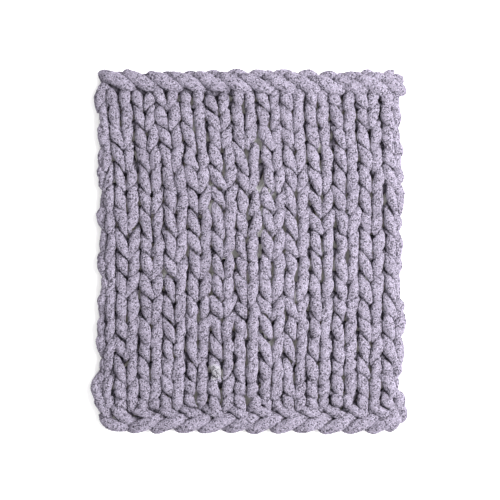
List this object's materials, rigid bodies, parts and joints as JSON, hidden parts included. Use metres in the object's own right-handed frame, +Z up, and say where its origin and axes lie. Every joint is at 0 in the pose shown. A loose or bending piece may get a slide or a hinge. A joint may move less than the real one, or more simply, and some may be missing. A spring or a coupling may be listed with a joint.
{
  "type": "chunky knitted chenille blanket",
  "caption": "Small chunky chenille blanket hand knitted in stockinette from thick plush yarn, lying flat, with a bound-off rope along the top edge and a cast-on braid along the bottom edge.",
  "frame": {"origin": "centre of the blanket's box, on the surface that it lies on", "axes": "+Y up the wales from the cast-on edge to the bound-off edge, +X across the wales to the right, +Z up from the purl side to the knit side"},
  "size_m": [0.601, 0.6964, 0.04],
  "materials": {
    "chenille": "matte short pile, lavender grey with fine dark specks between the tufts"
  },
  "bodies": {
    "root": {"blanket": "chenille"}
  },
  "joints": []
}
